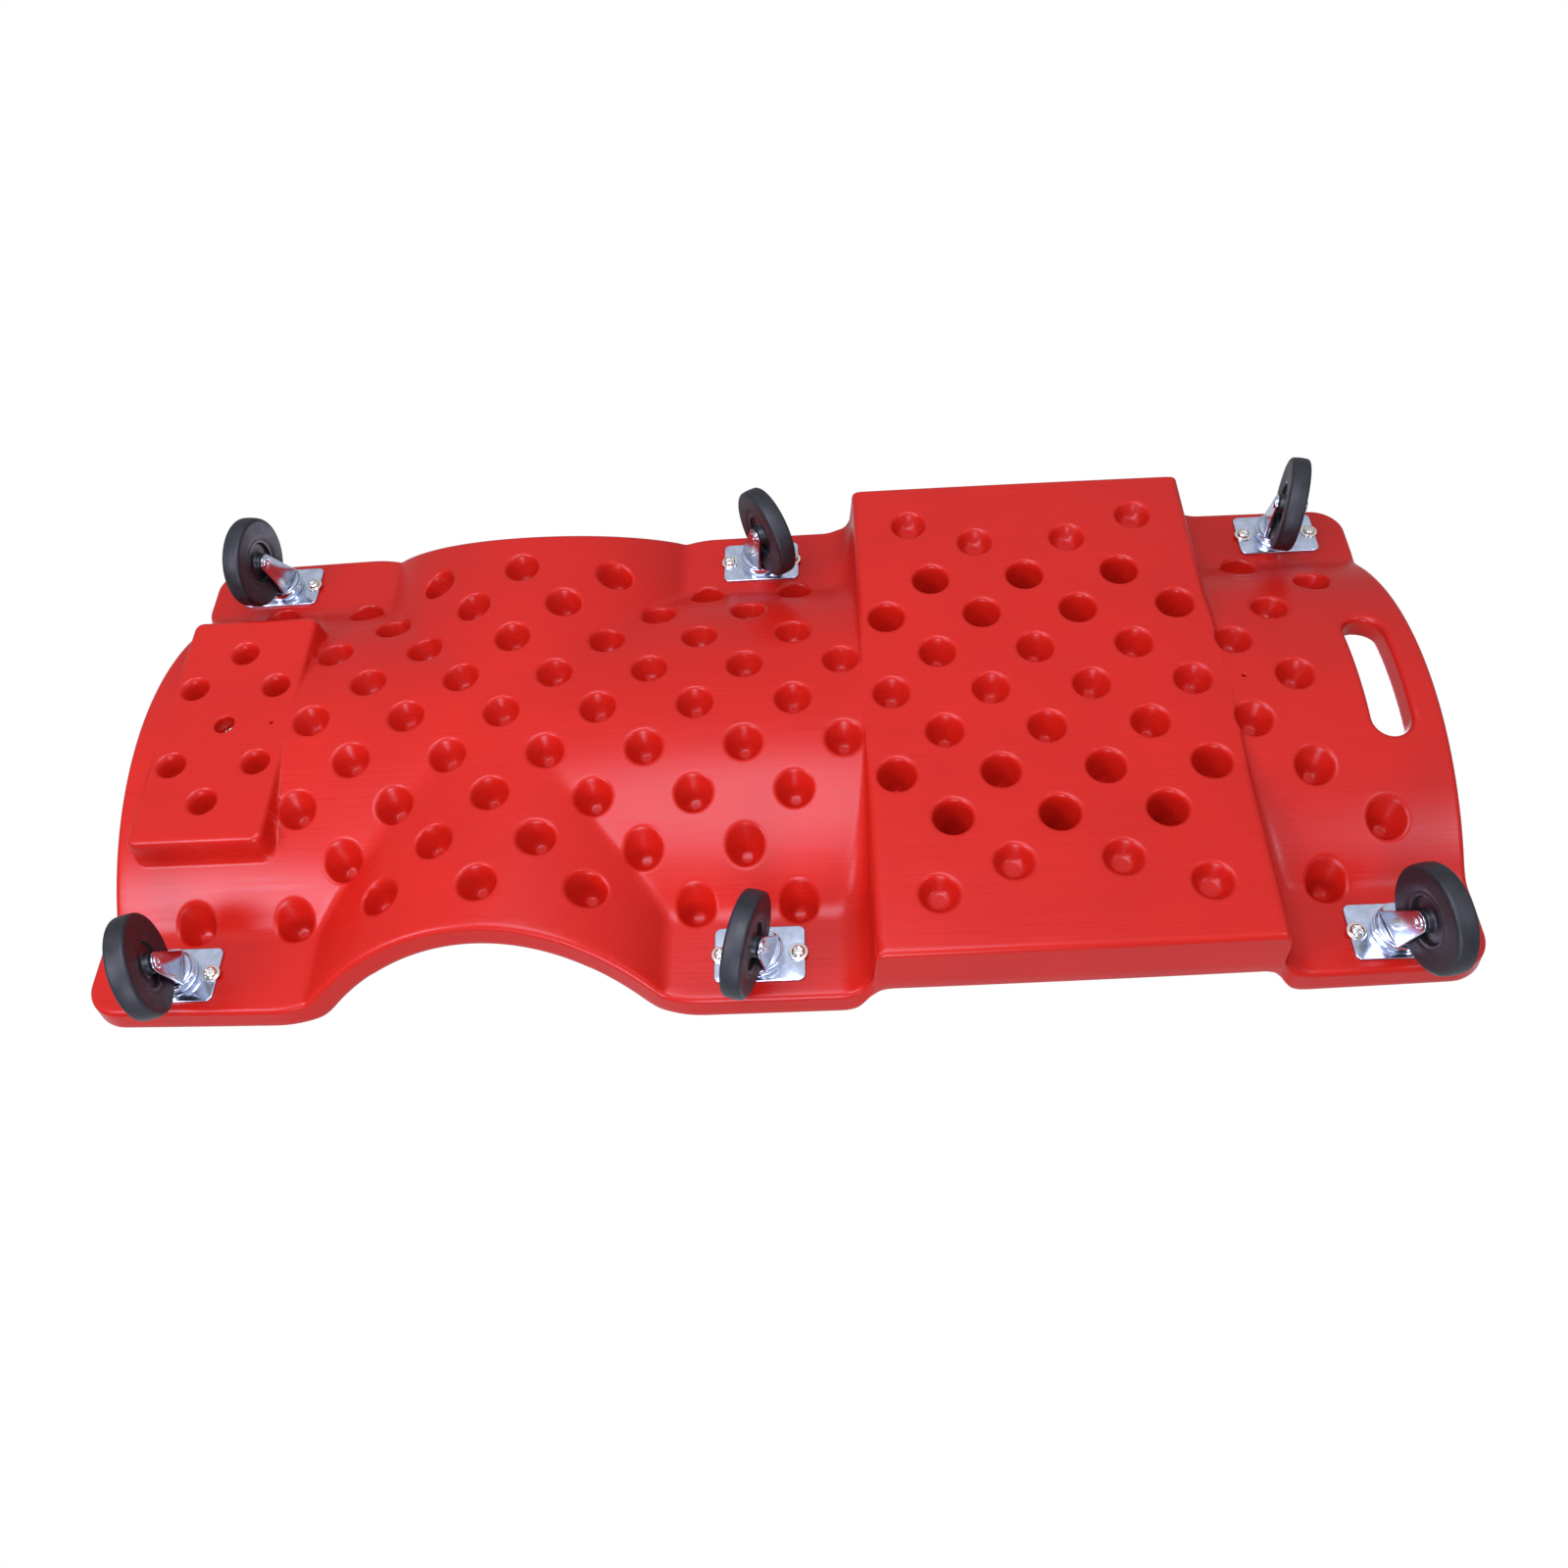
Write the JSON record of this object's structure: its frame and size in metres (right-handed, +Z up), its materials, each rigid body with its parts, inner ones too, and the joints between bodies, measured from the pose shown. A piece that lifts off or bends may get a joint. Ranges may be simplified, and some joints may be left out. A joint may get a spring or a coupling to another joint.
{
  "type": "mechanic creeper",
  "caption": "Low moulded creeper deck with arm dips, tool trays, a hand slot and a padded headrest, rolling on swivel casters.",
  "frame": {"origin": "on the floor, under the middle of the deck", "axes": "+X from the head end to the foot end, +Y to the rider's left, +Z up; the part stands on its six wheels"},
  "size_m": [1.02, 0.4765, 0.1165],
  "materials": {
    "deck_polyethylene": "satin",
    "board_plastic": "matte",
    "cushion_vinyl": "satin",
    "zinc_plate": "bright",
    "bearing_steel": "polished",
    "screw_nickel": "polished",
    "wheel_plastic": "matte",
    "tyre_rubber": "satin"
  },
  "bodies": {
    "deck_body": {"deck": "deck_polyethylene", "headrest_board": "board_plastic", "headrest_cushion": "cushion_vinyl", "headrest_screw": "screw_nickel", "caster_screws": "screw_nickel", "caster_washers": "screw_nickel", "caster_plate_head_right": "zinc_plate", "caster_plate_head_left": "zinc_plate", "caster_plate_mid_right": "zinc_plate", "caster_plate_mid_left": "zinc_plate", "caster_plate_foot_right": "zinc_plate", "caster_plate_foot_left": "zinc_plate", "swivel_balls_head_right": "bearing_steel", "swivel_balls_head_left": "bearing_steel", "swivel_balls_mid_right": "bearing_steel", "swivel_balls_mid_left": "bearing_steel", "swivel_balls_foot_right": "bearing_steel", "swivel_balls_foot_left": "bearing_steel", "kingpin_head_right": "zinc_plate", "kingpin_head_left": "zinc_plate", "kingpin_mid_right": "zinc_plate", "kingpin_mid_left": "zinc_plate", "kingpin_foot_right": "zinc_plate", "kingpin_foot_left": "zinc_plate"},
    "swivel_head_right": {"fork_head_right": "zinc_plate", "race_cover_head_right": "zinc_plate", "axle_head_right": "zinc_plate"},
    "wheel_head_right": {"wheel_core_head_right": "wheel_plastic", "tyre_head_right": "tyre_rubber"},
    "swivel_head_left": {"fork_head_left": "zinc_plate", "race_cover_head_left": "zinc_plate", "axle_head_left": "zinc_plate"},
    "wheel_head_left": {"wheel_core_head_left": "wheel_plastic", "tyre_head_left": "tyre_rubber"},
    "swivel_mid_right": {"fork_mid_right": "zinc_plate", "race_cover_mid_right": "zinc_plate", "axle_mid_right": "zinc_plate"},
    "wheel_mid_right": {"wheel_core_mid_right": "wheel_plastic", "tyre_mid_right": "tyre_rubber"},
    "swivel_mid_left": {"fork_mid_left": "zinc_plate", "race_cover_mid_left": "zinc_plate", "axle_mid_left": "zinc_plate"},
    "wheel_mid_left": {"wheel_core_mid_left": "wheel_plastic", "tyre_mid_left": "tyre_rubber"},
    "swivel_foot_right": {"fork_foot_right": "zinc_plate", "race_cover_foot_right": "zinc_plate", "axle_foot_right": "zinc_plate"},
    "wheel_foot_right": {"wheel_core_foot_right": "wheel_plastic", "tyre_foot_right": "tyre_rubber"},
    "swivel_foot_left": {"fork_foot_left": "zinc_plate", "race_cover_foot_left": "zinc_plate", "axle_foot_left": "zinc_plate"},
    "wheel_foot_left": {"wheel_core_foot_left": "wheel_plastic", "tyre_foot_left": "tyre_rubber"}
  },
  "joints": [
    {"name": "head_right_swivel", "type": "hinge", "parent": "deck_body", "child": "swivel_head_right", "pos_m": [-0.438, -0.192, 0.092], "axis": [0, 0, 1], "continuous": true},
    {"name": "head_right_roll", "type": "hinge", "parent": "swivel_head_right", "child": "wheel_head_right", "pos_m": [-0.44019, -0.17413, 0.038], "axis": [0.9925, 0.1219, 0], "continuous": true},
    {"name": "head_left_swivel", "type": "hinge", "parent": "deck_body", "child": "swivel_head_left", "pos_m": [-0.438, 0.192, 0.092], "axis": [0, 0, 1], "continuous": true},
    {"name": "head_left_roll", "type": "hinge", "parent": "swivel_head_left", "child": "wheel_head_left", "pos_m": [-0.43304, 0.2093, 0.038], "axis": [0.9613, -0.2756, 0], "continuous": true},
    {"name": "mid_right_swivel", "type": "hinge", "parent": "deck_body", "child": "swivel_mid_right", "pos_m": [-0.003, -0.192, 0.092], "axis": [0, 0, 1], "continuous": true},
    {"name": "mid_right_roll", "type": "hinge", "parent": "swivel_mid_right", "child": "wheel_mid_right", "pos_m": [0.006, -0.17641, 0.038], "axis": [0.866, -0.5, 0], "continuous": true},
    {"name": "mid_left_swivel", "type": "hinge", "parent": "deck_body", "child": "swivel_mid_left", "pos_m": [-0.003, 0.192, 0.092], "axis": [0, 0, 1], "continuous": true},
    {"name": "mid_left_roll", "type": "hinge", "parent": "swivel_mid_left", "child": "wheel_mid_left", "pos_m": [-0.00796, 0.2093, 0.038], "axis": [0.9613, 0.2756, 0], "continuous": true},
    {"name": "foot_right_swivel", "type": "hinge", "parent": "deck_body", "child": "swivel_foot_right", "pos_m": [0.446, -0.192, 0.092], "axis": [0, 0, 1], "continuous": true},
    {"name": "foot_right_roll", "type": "hinge", "parent": "swivel_foot_right", "child": "wheel_foot_right", "pos_m": [0.44134, -0.17461, 0.038], "axis": [0.9659, 0.2588, 0], "continuous": true},
    {"name": "foot_left_swivel", "type": "hinge", "parent": "deck_body", "child": "swivel_foot_left", "pos_m": [0.446, 0.192, 0.092], "axis": [0, 0, 1], "continuous": true},
    {"name": "foot_left_roll", "type": "hinge", "parent": "swivel_foot_left", "child": "wheel_foot_left", "pos_m": [0.44913, 0.20973, 0.038], "axis": [0.9848, -0.1736, 0], "continuous": true}
  ]
}
